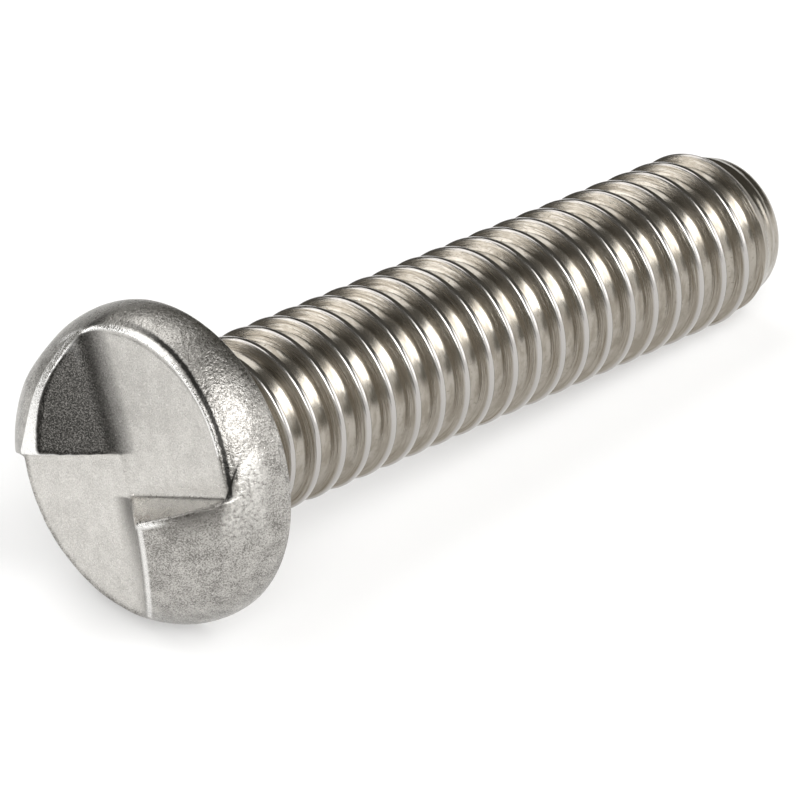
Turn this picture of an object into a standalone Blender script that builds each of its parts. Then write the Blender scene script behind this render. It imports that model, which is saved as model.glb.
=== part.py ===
"""One-way security screw: a round head machine screw with a slot that only a clockwise turn can hold."""

import math

import bmesh
import bpy

MM = 0.001

# The screw's own frame: Z runs up out of the head, the bearing face is at Z = 0, X is along the slot

# Thread: number 8, 32 threads to the inch, right hand, three quarters of an inch nominal
MAJOR_RADIUS = 2.05 * MM
PITCH = 0.79375 * MM
THREAD_DEPTH = 0.487 * MM
CREST_WIDTH = 0.13 * MM
ROOT_WIDTH = 0.10 * MM
CREST_PHASE = -0.17 * PITCH

# Shank and point
SHANK_LENGTH = 18.55 * MM
NECK_RADIUS = 1.78 * MM
NECK_LENGTH = 0.60 * MM
NECK_FILLET = 0.32 * MM
RUNOUT_LENGTH = 0.45 * MM
POINT_LENGTH = 1.10 * MM
POINT_RADIUS = 1.40 * MM
POINT_ROUNDING = 0.40 * MM

# Round head
HEAD_RADIUS = 3.65 * MM
HEAD_HEIGHT = 2.67 * MM
RIM_ROUNDING = 0.20 * MM

# Drive recess: each half has a flat floor, a wall for tightening and a ramp that throws the blade off
FLOOR_HEIGHT = 1.33 * MM
SLOT_WIDTH = 0.88 * MM
WALL_DRAFT = math.radians(13)
RAMP_FOOT = 0.16 * MM
RAMP_FILLET = 0.90 * MM
RAMP_ANGLE = math.radians(45)

# How the screw lies: turned about its own axis until the slot's right end is this far above level
SLOT_RISE = math.radians(20.5)

# Facets round a turn: three counts, so that the facet edges of solids that meet never coincide
HEAD_SEGMENTS = 40
TRIM_SEGMENTS = 36
THREAD_SEGMENTS = 32

# Steps in an edge rounding and in the dome's quarter outline
ARC_STEPS = 5
DOME_STEPS = 10

# How far a cutter or an inner end runs past what it must clear
CLEAR = 0.5 * MM
WELD = 0.001 * MM

STEEL_COLOUR = (0.62, 0.60, 0.57, 1.0)
STEEL_ROUGHNESS = 0.32


def empty_scene():
    """Remove what the scene holds."""
    for thing in list(bpy.data.objects):
        bpy.data.objects.remove(thing, do_unlink=True)


def new_collection(name):
    """Make a collection in the scene."""
    collection = bpy.data.collections.new(name)
    bpy.context.scene.collection.children.link(collection)
    return collection


def steel():
    """Plain stainless steel, tumbled to a satin."""
    material = bpy.data.materials.new("stainless_steel")
    material.use_nodes = True
    surface = material.node_tree.nodes["Principled BSDF"]
    surface.inputs["Base Color"].default_value = STEEL_COLOUR
    surface.inputs["Metallic"].default_value = 1.0
    surface.inputs["Roughness"].default_value = STEEL_ROUGHNESS
    return material


def arc(centre, radii, start, end, steps):
    """Points on an elliptical arc, both ends included; angles in degrees from +X towards +Z."""
    points = []
    for step in range(steps + 1):
        angle = math.radians(start + (end - start) * step / steps)
        points.append((centre[0] + radii[0] * math.cos(angle), centre[1] + radii[1] * math.sin(angle)))
    return points


def lowest_angle():
    """The direction, about the screw's own axis, that faces the floor when it lies at rest."""
    return 180.0 - roll_angle()


def roll_angle():
    """The turn about the screw's own axis, in degrees, that lifts the slot's end by SLOT_RISE."""
    return math.degrees(SLOT_RISE) - 90.0


def facet_turn(segments):
    """Where the first facet edge goes, so that the screw lies on the middle of a facet."""
    facet = 360.0 / segments
    return (lowest_angle() - facet / 2) % facet


def crest_edge(angle):
    """Height of the crest's lower edge at an angle in degrees, on one turn of the right-hand helix."""
    return CREST_PHASE + PITCH * angle / 360.0


def swept(name, points, segments, collection, turns=1, lift=0.0):
    """Sweep an outline of (radius, height) points round Z, once for a turned solid or climbing for a helix."""
    turn = math.radians(facet_turn(segments))
    mesh = bpy.data.meshes.new(name)
    vertices = [(radius * math.cos(turn), radius * math.sin(turn), height) for radius, height in points]
    edges = [(index, index + 1) for index in range(len(points) - 1)]
    mesh.from_pydata(vertices, edges, [])
    thing = bpy.data.objects.new(name, mesh)
    collection.objects.link(thing)
    screw = thing.modifiers.new("sweep", "SCREW")
    screw.axis = "Z"
    screw.angle = math.radians(360)
    screw.iterations = turns
    screw.screw_offset = lift
    screw.steps = segments
    screw.render_steps = segments
    screw.merge_threshold = WELD
    screw.use_merge_vertices = lift == 0.0
    return thing


def add_boolean(thing, other, operation):
    """Join, cut or trim one solid with another."""
    boolean = thing.modifiers.new(operation.lower(), "BOOLEAN")
    boolean.operation = operation
    boolean.object = other


def as_guide(thing):
    """A solid that only shapes another one."""
    thing.hide_render = True
    thing.display_type = "WIRE"


def bake(thing):
    """Put the evaluated shape into the object's own mesh."""
    depsgraph = bpy.context.evaluated_depsgraph_get()
    mesh = bpy.data.meshes.new_from_object(thing.evaluated_get(depsgraph))
    thing.modifiers.clear()
    thing.data = mesh


def make_head(collection):
    """Dome, rounded rim, bearing face, neck fillet and the plain neck, as one turned solid."""
    dome = arc((0.0, RIM_ROUNDING), (HEAD_RADIUS, HEAD_HEIGHT - RIM_ROUNDING), 90, 0, DOME_STEPS)
    dome[0] = (0.0, HEAD_HEIGHT)
    rim = arc((HEAD_RADIUS - RIM_ROUNDING, RIM_ROUNDING), (RIM_ROUNDING, RIM_ROUNDING), 0, -90, ARC_STEPS)
    fillet_centre = (NECK_RADIUS + NECK_FILLET, -NECK_FILLET)
    fillet = arc(fillet_centre, (NECK_FILLET, NECK_FILLET), 90, 180, ARC_STEPS)
    inner_radius = MAJOR_RADIUS - THREAD_DEPTH - ROOT_WIDTH
    end = [
        (NECK_RADIUS, -NECK_LENGTH),
        (inner_radius, -NECK_LENGTH - RUNOUT_LENGTH),
        (0.0, -NECK_LENGTH - RUNOUT_LENGTH),
    ]
    return swept("security_screw", dome + rim[1:] + fillet + end, HEAD_SEGMENTS, collection)


def recess_outline():
    """Side view of one half of the recess: flat floor to the right, ramp rising to the left."""
    far = HEAD_RADIUS + CLEAR
    top = HEAD_HEIGHT + CLEAR
    bend = arc((RAMP_FOOT, FLOOR_HEIGHT + RAMP_FILLET), (RAMP_FILLET, RAMP_FILLET),
               -90, -90 - math.degrees(RAMP_ANGLE), ARC_STEPS)
    ramp_run = (top - bend[-1][1]) / math.tan(RAMP_ANGLE)
    return [(far, top), (far, FLOOR_HEIGHT)] + bend + [(bend[-1][0] - ramp_run, top)]


def recess_cutter_mesh(name):
    """Half of the recess as a solid, drawn out from its drafted tightening wall."""
    points = recess_outline()
    curve = bpy.data.curves.new(name, "CURVE")
    curve.dimensions = "2D"
    curve.fill_mode = "BOTH"
    curve.extrude = HEAD_RADIUS
    spline = curve.splines.new("POLY")
    spline.points.add(len(points) - 1)
    for point, (across, height) in zip(spline.points, points):
        point.co = (across, height, 0.0, 1.0)
    spline.use_cyclic_u = True
    flat = bpy.data.objects.new(name, curve)
    bpy.context.scene.collection.objects.link(flat)
    depsgraph = bpy.context.evaluated_depsgraph_get()
    mesh = bpy.data.meshes.new_from_object(flat.evaluated_get(depsgraph))
    bpy.data.objects.remove(flat)

    solid = bmesh.new()
    solid.from_mesh(mesh)
    bmesh.ops.remove_doubles(solid, verts=solid.verts, dist=WELD)
    for vertex in solid.verts:
        across, height, depth = vertex.co
        wall = -SLOT_WIDTH / 2 - (height - FLOOR_HEIGHT) * math.tan(WALL_DRAFT)
        vertex.co = (across, wall if depth > 0.0 else HEAD_RADIUS + CLEAR, height)
    solid.to_mesh(mesh)
    solid.free()
    return mesh


def make_recess_cutter(name, mesh, turn, collection):
    """One half of the recess at its place round the axis."""
    cutter = bpy.data.objects.new(name, mesh)
    cutter.rotation_euler.z = turn
    collection.objects.link(cutter)
    as_guide(cutter)
    return cutter


def make_thread_envelope(collection):
    """Turned solid that trims the thread: hidden end, run-out under the neck, tapered and rounded point."""
    inner_radius = MAJOR_RADIUS - THREAD_DEPTH - ROOT_WIDTH
    outer_radius = MAJOR_RADIUS + CREST_WIDTH
    taper = (MAJOR_RADIUS - POINT_RADIUS - POINT_ROUNDING) / (POINT_LENGTH - POINT_ROUNDING)
    head_end = [
        (0.0, CLEAR),
        (inner_radius, CLEAR),
        (inner_radius, -NECK_LENGTH),
        (outer_radius, -NECK_LENGTH - RUNOUT_LENGTH),
        (outer_radius, -SHANK_LENGTH + POINT_LENGTH + (outer_radius - MAJOR_RADIUS) / taper),
    ]
    rounding = arc((POINT_RADIUS, -SHANK_LENGTH + POINT_ROUNDING), (POINT_ROUNDING, POINT_ROUNDING),
                   0, -90, ARC_STEPS)
    outline = head_end + rounding + [(0.0, -SHANK_LENGTH)]
    envelope = swept("thread_envelope", outline, TRIM_SEGMENTS, collection)
    as_guide(envelope)
    return envelope


def make_thread(collection):
    """Helical thread on its core, longer than the shank at both ends and trimmed by the envelope."""
    root_radius = MAJOR_RADIUS - THREAD_DEPTH
    flank = (PITCH - CREST_WIDTH - ROOT_WIDTH) / 2
    turns = math.ceil((SHANK_LENGTH + 2 * CLEAR) / PITCH) + 3
    lower_edge = crest_edge(facet_turn(THREAD_SEGMENTS))
    start = lower_edge - flank - PITCH * math.ceil((SHANK_LENGTH + CLEAR + PITCH + lower_edge) / PITCH)
    outline = [
        (root_radius, start + PITCH),
        (root_radius, start + PITCH - ROOT_WIDTH),
        (MAJOR_RADIUS, start + flank + CREST_WIDTH),
        (MAJOR_RADIUS, start + flank),
        (root_radius, start),
    ]
    thread = swept("thread", outline, THREAD_SEGMENTS, collection, turns, PITCH)
    bake(thread)

    solid = bmesh.new()
    solid.from_mesh(thread.data)
    bmesh.ops.remove_doubles(solid, verts=solid.verts, dist=WELD)
    for height, side in ((-SHANK_LENGTH - CLEAR, -1.0), (2 * CLEAR, 1.0)):
        everything = solid.verts[:] + solid.edges[:] + solid.faces[:]
        bmesh.ops.bisect_plane(solid, geom=everything, plane_co=(0.0, 0.0, height),
                               plane_no=(0.0, 0.0, side), clear_outer=True)
    rims = [edge for edge in solid.edges if edge.is_boundary]
    bmesh.ops.holes_fill(solid, edges=rims, sides=0)
    bmesh.ops.recalc_face_normals(solid, faces=solid.faces)
    solid.to_mesh(thread.data)
    solid.free()
    add_boolean(thread, make_thread_envelope(collection), "INTERSECT")
    as_guide(thread)
    return thread


def rest_tilt():
    """Angle of the axis when the head's rim and the last full crest both touch the floor."""
    taper_start = -SHANK_LENGTH + POINT_LENGTH
    edge = crest_edge(lowest_angle())
    last_crest = edge - PITCH * math.floor((edge - taper_start) / PITCH)
    return math.atan((HEAD_RADIUS - MAJOR_RADIUS) / (RIM_ROUNDING - last_crest))


def lay_down(thing):
    """Lay the screw on the floor, point towards +X, and centre its box over the origin."""
    thing.rotation_mode = "ZYX"
    thing.rotation_euler = (0.0, rest_tilt() - math.radians(90), math.radians(roll_angle()))
    bpy.context.view_layer.update()
    corners = [thing.matrix_world @ vertex.co for vertex in thing.data.vertices]
    middle = [(min(c[axis] for c in corners) + max(c[axis] for c in corners)) / 2 for axis in (0, 1)]
    thing.location = (-middle[0], -middle[1], -min(c[2] for c in corners))


def main():
    """Build the screw."""
    empty_scene()
    parts = new_collection("one_way_security_screw")
    cutters = new_collection("cutters")
    screw = make_head(parts)
    recess = recess_cutter_mesh("recess_cutter")
    for name, turn in (("recess_cutter_upper", 0.0), ("recess_cutter_lower", math.pi)):
        add_boolean(screw, make_recess_cutter(name, recess, turn, cutters), "DIFFERENCE")
    add_boolean(screw, make_thread(cutters), "UNION")
    bake(screw)
    screw.data.shade_smooth()
    screw.data.set_sharp_from_angle(angle=math.radians(28))
    screw.data.materials.clear()
    screw.data.materials.append(steel())
    lay_down(screw)


main()
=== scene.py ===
import math
from types import SimpleNamespace

import bmesh
import bpy
from mathutils import Euler, Matrix, Vector, noise


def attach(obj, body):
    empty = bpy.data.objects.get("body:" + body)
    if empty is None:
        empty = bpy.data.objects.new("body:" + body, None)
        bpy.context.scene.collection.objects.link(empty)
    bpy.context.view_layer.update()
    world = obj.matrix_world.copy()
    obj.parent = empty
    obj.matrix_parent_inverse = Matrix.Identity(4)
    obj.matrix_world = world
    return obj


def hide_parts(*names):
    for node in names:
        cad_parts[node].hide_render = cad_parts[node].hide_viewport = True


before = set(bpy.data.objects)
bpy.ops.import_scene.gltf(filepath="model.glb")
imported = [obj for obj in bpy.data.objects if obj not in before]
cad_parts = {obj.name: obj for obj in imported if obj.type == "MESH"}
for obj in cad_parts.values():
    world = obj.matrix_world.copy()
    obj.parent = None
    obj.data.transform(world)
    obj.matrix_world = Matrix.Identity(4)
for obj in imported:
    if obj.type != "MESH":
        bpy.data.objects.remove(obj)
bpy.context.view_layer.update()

# The screw is modelled upright in millimetres: Z runs up out of the head, and the bearing face is at Z = 0.
# The slot runs along X. A ramp rises across X and its foot runs along Y, so X is called across and Y along.
# At the end the screw is laid down as the part lies: its axis dips from +X, and its slot is turned about it.
MM = 0.001
AXIS_DIP = math.radians(5.30)
SLOT_RISE = math.radians(20.5)
REST_TURN = Euler((0.0, AXIS_DIP - math.pi / 2, SLOT_RISE - math.pi / 2), "ZYX")
REST_PLACE = Vector((-8.0743, 0.0, 3.6072))

# Thread, number 8, 32 threads to the inch. CREST_MIDDLE is the height at which a crest's middle crosses +X,
# and FLANK_POINTS are the places, in pitches from the root's middle, at which a flank is drawn.
CREST_RADIUS = 2.042
PITCH = 0.79375
THREAD_DEPTH = 0.40
CREST_WIDTH = 0.12
CREST_MIDDLE = -0.069
ROOT_RUN = 0.19
ROOT_RISE = 0.13
ROOT_CURVE = 1.2
FLANK_POINTS = (0.0, 0.06, 0.15, 0.225, 0.255, 0.34, 0.41, 0.42, 0.45)
THREAD_STEPS = 112

# Neck, run-out and point. NECK_OVERLAP is how far the swept thread reaches into the plain neck.
SHANK_LENGTH = 18.55
NECK_RADIUS = 1.78
NECK_LENGTH = 0.60
NECK_OVERLAP = 0.05
NECK_FILLET = 0.32
NECK_STEPS = 5
RUNOUT_LENGTH = 0.55
POINT_LENGTH = 1.22
POINT_RADIUS = 1.30
POINT_ROUNDING = 0.40
POINT_STEPS = 8
END_RING = 0.4

# Head. Its dome leans down a little in the upper half, and less on the left.
HEAD_RADIUS = 3.64
HEAD_HEIGHT = 2.67
RIM_HEIGHT = 0.20
RIM_ROUNDING = 0.06
RIM_STEPS = 3
LAND_RADIUS = 3.626
DOME_LEAN = 0.06
LEAN_LOSS = 0.6
LEAN_LOSS_EDGE = (0.3, 2.0)
HEAD_SIDES = 192
DOME_STEPS = 48

# Drive recess; its floor falls a little from the middle outwards. Of each pair, the first is for the half
# with the upper ramp and the lower wall, the second for the half with the lower ramp and the upper wall.
FLOOR_HEIGHT = 1.38
FLOOR_FALL = 0.075
FLOOR_CROWN = 0.3
WALL_PLACES = (0.44, 0.49)
WALL_DRAFT = math.radians(13)
RAMP_FEET = (0.26, 0.36)
RAMP_FILLET = 0.90
RAMP_STEPS = 12
RAMP_ANGLES = (math.radians(40), math.radians(41))
RAMP_SKEWS = (-0.13, 0.12)
RAMP_CURVES = (0.0, 0.03)
RAMP_START = 0.45

# The punch is cut at these places along a ramp's foot, so that it can follow the skew and the floor's fall
PUNCH_CUTS = (-0.3, -0.15, 0.0, 0.15, 0.3, 0.45, 0.8, 1.2, 1.6, 2.0, 2.4, 2.8, 3.2)

# The ramps' crests and the ridge between their feet are eased. Each pair is a soft edge, from start to end.
CREST_EASE = (0.12, 0.42)
CREST_SIDE = (-0.6, 0.2)
CREST_PASSES = 26
RIDGE_MIDDLE = -0.05
RIDGE_REACH = (0.3, 0.6)
RIDGE_ENDS = (WALL_PLACES[0] - 0.2, WALL_PLACES[0] - 0.08)
FLOOR_BAND = 0.2

# Lip and step that forging left round the floor, whose edge lies further out towards the top
EDGE_RADIUS = 3.17
EDGE_SWING = 0.055
EDGE_LEFT = (-0.6, 0.6)
EDGE_ABOVE_WALL = (-0.5, -0.4)
LIP_HEIGHT = 0.04
LIP_INSET = 0.10
LIP_WIDTH = 0.06
STEP_DEPTH = 0.07
STEP_INNER = (-0.05, 0.01)
STEP_OUTER = (0.03, 0.20)

# Shoulder that bulges out beside the upper ramp
SHOULDER_BULGE = 0.14
SHOULDER_WAY = (0.8, 0.6)
SHOULDER_SIDE = (0.5, 2.2)
SHOULDER_START = (0.34, 0.46)
SHOULDER_END = (2.0, 3.4)
SHOULDER_RISE = (0.4, 1.7)

# Fold on the right of the dome, and the hammered skin
FOLD_START = Vector((3.02, -0.56))
FOLD_END = Vector((3.52, 0.57))
FOLD_WAY = (FOLD_END - FOLD_START).normalized()
FOLD_LENGTH = 1.2
FOLD_HEIGHT = 0.03
FOLD_LEFT = 1.0
FOLD_INNER = (0.0, 0.07)
FOLD_OUTER = (0.12, 0.8)
FOLD_START_EDGE = (0.0, 0.2)
FOLD_END_EDGE = (FOLD_LENGTH - 0.3, FOLD_LENGTH)
DENT_DEPTH = 0.02
DENT_SCALE = 0.9
DENT_EDGE = (RIM_HEIGHT, 0.8)

# The head's skin is remade as an even mesh with cells of SKIN_CELL, and smoothed some times over. Blanks and
# tools stand SPARE past what they cut, and points closer than WELD are one.
SKIN_CELL = 0.042
SKIN_PASSES = 3
DENT_PASSES = 2
SPARE = 0.5
WELD = 0.0005
SMOOTH_ANGLE = math.radians(50)

# Tones of the head's and the thread's steel, and of the painted shade and painted highlights on the head
FLOOR_LIGHT = (0.72, 0.70, 0.665, 1.0)
FLOOR_DARK = (0.47, 0.455, 0.43, 1.0)
DOME_LIGHT = (0.53, 0.513, 0.485, 1.0)
# the dark dome tone is also the painted shade in the lower ramp's fillet and under the lower wall
DOME_DARK = (0.17, 0.162, 0.15, 1.0)
# scuffs outside the fold, painted lighter also as a painted highlight
SCUFF_AND_HIGHLIGHT = (0.80, 0.78, 0.745, 1.0)
# painted shade: the upper ramp's tones with its painted glints; the darker one also paints shade in the
# crease, seam and crack
RAMP_LIGHT = (0.115, 0.11, 0.103, 1.0)
RAMP_DARK = (0.03, 0.029, 0.027, 1.0)
# near-white painted highlight for the ramps' crests, the lip, the lower wall and its corner
PAINTED_HIGHLIGHT = (0.95, 0.94, 0.92, 1.0)
WALL_STAIN = (0.42, 0.375, 0.32, 1.0)
THREAD_LIGHT = (0.38, 0.353, 0.31, 1.0)
THREAD_DARK = (0.20, 0.168, 0.125, 1.0)
THREAD_CREST = (0.47, 0.452, 0.435, 1.0)

# Roughness of the steel, and its bumps, each with its depth in metres and its strength
HEAD_ROUGHNESS = 0.32
HEAD_ROUGHNESS_RANGE = (0.26, 0.36)
BURNISH = 0.08
HAMMERED_BUMP = (0.00002, 0.8)
GRAIN_BUMP = (0.00001, 0.9)
FLOOR_BUMP_SHARE = 0.25
THREAD_ROUGHNESS = 0.16
CLEAN_THREAD_ROUGHNESS = 0.205
STAINED_THREAD_GAIN = 0.10
STREAK_BUMP = (0.00002, 0.4)
STAIN_BUMP = (0.00001, 0.3)

# Grain of the head's tumbled skin: the noises' scales, and the ranges in which they show
GRAIN_SCALE = 30.0
PEEL_SCALE = 12.0
CLOUD_SCALE = 2.6
CLOUD_TONES = (0.3, 0.7)
DOME_FLECKS = (0.86, 1.14)
FLOOR_FLECKS = (0.82, 1.18)
RAMP_GLINTS = (0.45, 0.65)
PEEL_RANGE = (0.3, 0.7)
WALL_PEEL = (0.4, 0.6)
SCUFF_HIGHLIGHT_PEEL = (0.38, 0.62)

# Marks on the head's skin. A pair is a soft edge, from its start to its end, and three values are a band: its
# start, its end and how soft both are. They are in millimetres, apart from UNDER_DOME, a share of the dome.
# The front keeps the marks off the bearing face, and a painted sheen makes the top of the dome a little
# lighter.
UNDER_DOME = (0.92, 0.97)
FRONT_EDGE = (0.5, 0.8)
TOP_SHEEN_EDGE = (2.4, 3.6)
TOP_SHEEN_GAIN = 0.06
UPPER_HALF = (WALL_PLACES[1] - 0.02, WALL_PLACES[1] + 0.02)
LOWER_HALF = (-WALL_PLACES[0] - 0.06, -WALL_PLACES[0] - 0.02)

# Painted shade: the dark upper ramp, and the dark fillet of the lower one
UPPER_FILLET = (-0.45, 0.52)
UPPER_RAMP_EDGE = (-0.10, -0.03)
LOWER_FILLET = (0.15, 0.60)
LOWER_FILLET_SHADE = 0.95
LOWER_FILLET_END = (-2.8, -0.8)
LOWER_RAMP_EDGE = (-0.08, -0.02)

# Burnished crests of the ramps with painted highlights; the upper one narrows towards the top
UPPER_CREST = (-0.90, -0.04, 0.04)
UPPER_CREST_END = (-1.0, -0.6)
CREST_NARROWING = (0.8, 2.2)
CREST_NARROWED = 3.0
LOWER_CREST = (-0.16, -0.03, 0.03)
LOWER_CREST_END = (-0.4, -0.2)
LOWER_CREST_SHINE = 0.6

# Burnished lip with a painted highlight, and painted shade in the dark seam outside it, which wavers by
# SEAM_WAVER
LIP_BAND = (-0.14, -0.06, 0.02)
LIP_LEFT = (-1.4, -1.0)
SEAM_BAND = (-0.04, 0.03, 0.015)
SEAM_WAVER = 0.008
SEAM_LEFT = (0.0, 1.6)
SEAM_ABOVE_WALL = (-0.5, -0.44)

# Lower wall: burnished, with painted highlights on it and on its corner, a painted shadow in a strip under
# it, stains high up and painted shade in the crease at its foot
WALL_BAND = (-0.80, -WALL_PLACES[0] - 0.01, 0.01)
WALL_LEFT = (0.2, 0.9)
WALL_CORNER = (0.02, 0.15, 0.04)
WALL_CORNER_ACROSS = (1.2, 1.8, 0.2)
WALL_SHADE = 0.9
WALL_SHADE_START = (-0.02, 0.03)
WALL_SHADE_END = (0.05, 0.60)
WALL_SHADE_ACROSS = (2.0, 3.1, 0.3)
WALL_STAIN_RISE = (1.60, 2.20)
WALL_STAIN_SHARES = (0.2, 0.7)
CREASE_BAND = (-WALL_PLACES[0] - 0.015, -WALL_PLACES[0] + 0.01, 0.015)
CREASE_LEFT = (-0.1, 0.3)
CREASE_SHADE = 0.6

# Fold: scuffs outside it, painted lighter also as a painted highlight, and painted shade in a crack along it
SCUFF_HIGHLIGHT_INNER = (0.02, 0.10)
SCUFF_HIGHLIGHT_OUTER = (0.15, 0.80)
SCUFF_HIGHLIGHT_RUN = (-0.6, 1.1, 0.35)
SCUFF_HIGHLIGHT_SHARES = (0.3, 1.0)
CRACK_BAND = (-0.045, 0.0, 0.015)
CRACK_RUN = (0.05, 0.85, 0.12)

# Thread: streaks on the flanks that follow the thread, broad stains, and small dark specks. STREAK_SCALE is
# for across and along, for outwards and for upwards, and STAIN_SCALE for across and along and for upwards.
STREAK_SCALE = (0.9, 26.0, 1.3)
STREAK_RANGE = (0.3, 0.6)
STREAK_SHARES = (0.9, 0.1)
STAIN_SCALE = (0.6, 3.0)
STAIN_NOISE_SCALE = 2.6
STAIN_RANGE = (0.40, 0.56)
STAIN_SHARE = 0.5
SPECK_SCALE = 14.0
SPECK_RANGE = (0.62, 0.72)
SPECK_SHARE = 0.6
FLANK_EDGE = (CREST_RADIUS - 0.24, CREST_RADIUS - 0.18)
CREST_EDGE = (CREST_RADIUS - 0.06, CREST_RADIUS - 0.01)

# Camera, from a fit of the thread's and the head's outline
CAMERA_PLACE = Vector((-0.091545, -0.085791, 0.075481))
CAMERA_RIGHT = Vector((0.6863, -0.7273, -0.00254))
CAMERA_FORWARD = Vector((0.62581, 0.5923, -0.50769))
CAMERA_LENS = 291.3
SENSOR_WIDTH = 36.0
CLIP_START = 0.01
CLIP_END = 10.0

# Studio, in metres. TABLE_WHITE is the share of the table that is seen as plain white.
ROOM_COLOUR = (0.09, 0.085, 0.072, 1.0)
LAMP_DISTANCE = 0.50
TABLE_SIZE = 6.0
TABLE_COLOUR = (0.98, 0.98, 0.98, 1.0)
TABLE_WHITE = 0.32
CARD_COLOUR = (0.20, 0.19, 0.16, 1.0)
CARD_BEARING = math.radians(212)
CARD_DISTANCE = 0.027
CARD_WIDTH = 0.036
CARD_HEIGHT = 0.008


def start_fresh():
    """Leave edit mode and let nothing be selected."""
    if bpy.context.object and bpy.context.object.mode != "OBJECT":
        bpy.ops.object.mode_set(mode="OBJECT")
    bpy.ops.object.select_all(action="DESELECT")


def pick(thing):
    """Select one thing alone and make it the active one."""
    start_fresh()
    thing.select_set(True)
    bpy.context.view_layer.objects.active = thing


def arc(centre, radius, start, end, steps):
    """Points after the first on an arc, angles in degrees from outwards towards up."""
    points = []
    for step in range(1, steps + 1):
        angle = math.radians(start + (end - start) * step / steps)
        points.append((centre[0] + radius * math.cos(angle), centre[1] + radius * math.sin(angle)))
    return points


def smooth_step(value, low, high):
    """Nought below low, one above high, and a soft rise between."""
    share = min(max((value - low) / (high - low), 0.0), 1.0)
    return share * share * (3.0 - 2.0 * share)


def draw_rings(ring, outline):
    """Draw the selected ring out along (radius, height) points."""
    radius, height = ring
    for next_radius, next_height in outline:
        bpy.ops.mesh.extrude_edges_move(TRANSFORM_OT_translate={"value": (0.0, 0.0, next_height - height)})
        grow = next_radius / radius
        bpy.ops.transform.resize(value=(grow, grow, 1.0), center_override=(0.0, 0.0, 0.0))
        radius, height = next_radius, next_height


def select_open_edges():
    """Select the edges with only one face."""
    bpy.ops.mesh.select_all(action="DESELECT")
    bpy.ops.mesh.select_mode(type="EDGE")
    bpy.ops.mesh.select_non_manifold(extend=False, use_wire=False, use_multi_face=False,
                                     use_non_contiguous=False, use_verts=False)


def cut_level(height, **side):
    """Cut the whole mesh at a height and clear the side that is named."""
    bpy.ops.mesh.select_all(action="SELECT")
    bpy.ops.mesh.bisect(plane_co=(0.0, 0.0, height), plane_no=(0.0, 0.0, 1.0), **side)


def turn_outwards():
    """Let all faces point out of the closed mesh."""
    bpy.ops.mesh.select_all(action="SELECT")
    bpy.ops.mesh.normals_make_consistent(inside=False)


def apply_modifier(thing, kind, **settings):
    """Add a modifier, set it and apply it."""
    modifier = thing.modifiers.new(kind.lower(), kind)
    for name, value in settings.items():
        setattr(modifier, name, value)
    bpy.context.view_layer.objects.active = thing
    bpy.ops.object.modifier_apply(modifier=modifier.name)


def smooth(thing, passes, group=""):
    """Smooth a mesh some times over, or only as much as a vertex group says."""
    apply_modifier(thing, "SMOOTH", factor=0.5, iterations=passes, vertex_group=group)


def dome_height(radius):
    """Height of the plain dome at a distance from the axis."""
    share = min(radius / HEAD_RADIUS, 1.0)
    return RIM_HEIGHT + (HEAD_HEIGHT - RIM_HEIGHT) * math.sqrt(1.0 - share * share)


def dome_lean(across, along):
    """How far the forged dome leans down at a place in its upper half."""
    left = smooth_step(-across, *LEAN_LOSS_EDGE)
    return DOME_LEAN * smooth_step(along, 0.0, HEAD_RADIUS) * (1.0 - LEAN_LOSS * left)


def ramp_bend(half):
    """Place and height over the floor's level at which a ramp turns from its fillet to its straight part."""
    angle = RAMP_ANGLES[half]
    return RAMP_FEET[half] - RAMP_FILLET * math.sin(angle), RAMP_FILLET * (1.0 - math.cos(angle))


def floor_drop(along):
    """How far the floor has fallen at a distance from the slot's middle line."""
    return FLOOR_FALL * (math.hypot(along, FLOOR_CROWN) - FLOOR_CROWN)


def ramp_shift(along, half):
    """How far a ramp has moved sideways at a distance from the slot's middle line."""
    run = max(along - RAMP_START, 0.0)
    return RAMP_SKEWS[half] * run + RAMP_CURVES[half] * run * run


def recess_height(across, along, half):
    """Height of one half's floor and ramp, in the frame in which its ramp rises to the left."""
    bend_place, bend_rise = ramp_bend(half)
    floor = FLOOR_HEIGHT - floor_drop(along)
    across -= ramp_shift(along, half)
    if across > RAMP_FEET[half]:
        return floor
    if across > bend_place:
        side = RAMP_FEET[half] - across
        return floor + RAMP_FILLET - math.sqrt(RAMP_FILLET ** 2 - side * side)
    return floor + bend_rise + (bend_place - across) * math.tan(RAMP_ANGLES[half])


def make_head_blank():
    """The head before its recess is pressed: a dome on a short closed cylinder."""
    start_fresh()
    bpy.ops.mesh.primitive_circle_add(vertices=HEAD_SIDES, radius=HEAD_RADIUS, fill_type="NGON",
                                      location=(0.0, 0.0, -SPARE))
    blank = bpy.context.object
    bpy.ops.object.transform_apply()
    bpy.ops.object.mode_set(mode="EDIT")
    select_open_edges()
    outline = [(HEAD_RADIUS, RIM_HEIGHT)]
    for step in range(1, DOME_STEPS):
        radius = HEAD_RADIUS * math.cos(math.pi / 2 * step / DOME_STEPS)
        outline.append((radius, dome_height(radius)))
    draw_rings((HEAD_RADIUS, -SPARE), outline)
    bpy.ops.mesh.merge(type="CENTER")
    turn_outwards()
    bpy.ops.object.mode_set(mode="OBJECT")
    return blank


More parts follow.
